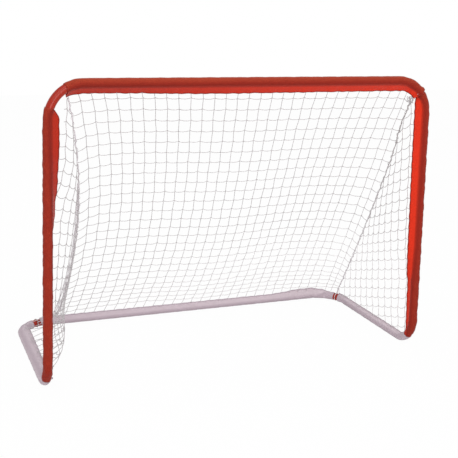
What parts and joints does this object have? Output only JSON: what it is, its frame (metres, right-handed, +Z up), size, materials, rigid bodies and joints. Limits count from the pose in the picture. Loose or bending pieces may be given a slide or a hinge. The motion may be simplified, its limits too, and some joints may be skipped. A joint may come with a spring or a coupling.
{
  "type": "street hockey goal",
  "caption": "Small hockey goal with a bent steel tube frame in cloth sleeves, a knotted net on its back and sides, and snap-button joints.",
  "frame": {"origin": "on the floor, in the middle of the goal's outline", "axes": "+X to the right along the crossbar as seen from the front, +Y from the mouth to the back, +Z up"},
  "size_m": [1.24, 0.6017, 0.9],
  "materials": {
    "frame_tube": "red powder coat, glossy",
    "red_cloth": "red woven polyester",
    "white_cloth": "white woven polyester",
    "net_cord": "white twisted twine",
    "button_steel": "turned steel",
    "spring_steel": "spring steel strip"
  },
  "bodies": {
    "frame": {"top_tube_left": "frame_tube", "top_tube_right": "frame_tube", "post_tube_left": "frame_tube", "post_tube_right": "frame_tube", "base_tube_left": "frame_tube", "base_tube_right": "frame_tube", "crossbar_sleeve": "red_cloth", "post_sleeve_left": "red_cloth", "post_sleeve_right": "red_cloth", "side_sleeve_left": "white_cloth", "side_sleeve_right": "white_cloth", "back_bar_sleeve": "white_cloth", "net_back": "net_cord", "net_side_left": "net_cord", "net_side_right": "net_cord", "seam_cord_left": "net_cord", "seam_cord_right": "net_cord", "top_tie": "net_cord", "back_tie_left": "net_cord", "back_tie_right": "net_cord", "crossbar_spring": "spring_steel", "back_bar_spring": "spring_steel", "post_spring_left": "spring_steel", "post_spring_right": "spring_steel", "foot_spring_left": "spring_steel", "foot_spring_right": "spring_steel"},
    "crossbar_button": {"crossbar_button": "button_steel"},
    "back_bar_button": {"back_bar_button": "button_steel"},
    "post_button_left": {"post_button_left": "button_steel"},
    "post_button_right": {"post_button_right": "button_steel"},
    "foot_button_left": {"foot_button_left": "button_steel"},
    "foot_button_right": {"foot_button_right": "button_steel"}
  },
  "joints": [
    {"name": "crossbar_button_press", "type": "slide", "parent": "frame", "child": "crossbar_button", "axis": [0, 0.5485, -0.8362], "range_m": [-0.0038, 0], "stiffness_N_per_m": 1500, "springref_m": 0.002, "deforming": ["crossbar_spring"]},
    {"name": "back_bar_button_press", "type": "slide", "parent": "frame", "child": "back_bar_button", "axis": [0, -0.5485, 0.8362], "range_m": [-0.0038, 0], "stiffness_N_per_m": 1500, "springref_m": 0.002, "deforming": ["back_bar_spring"]},
    {"name": "post_button_left_press", "type": "slide", "parent": "frame", "child": "post_button_left", "axis": [0.6155, 0.788, -0.0141], "range_m": [-0.0038, 0], "stiffness_N_per_m": 1500, "springref_m": 0.002, "deforming": ["post_spring_left"]},
    {"name": "post_button_right_press", "type": "slide", "parent": "frame", "child": "post_button_right", "axis": [-0.6155, 0.788, -0.0141], "range_m": [-0.0038, 0], "stiffness_N_per_m": 1500, "springref_m": 0.002, "deforming": ["post_spring_right"]},
    {"name": "foot_button_left_press", "type": "slide", "parent": "frame", "child": "foot_button_left", "axis": [0.454, 0, 0.891], "range_m": [-0.0038, 0], "stiffness_N_per_m": 1500, "springref_m": 0.002, "deforming": ["foot_spring_left"]},
    {"name": "foot_button_right_press", "type": "slide", "parent": "frame", "child": "foot_button_right", "axis": [-0.454, 0, 0.891], "range_m": [-0.0038, 0], "stiffness_N_per_m": 1500, "springref_m": 0.002, "deforming": ["foot_spring_right"]}
  ]
}
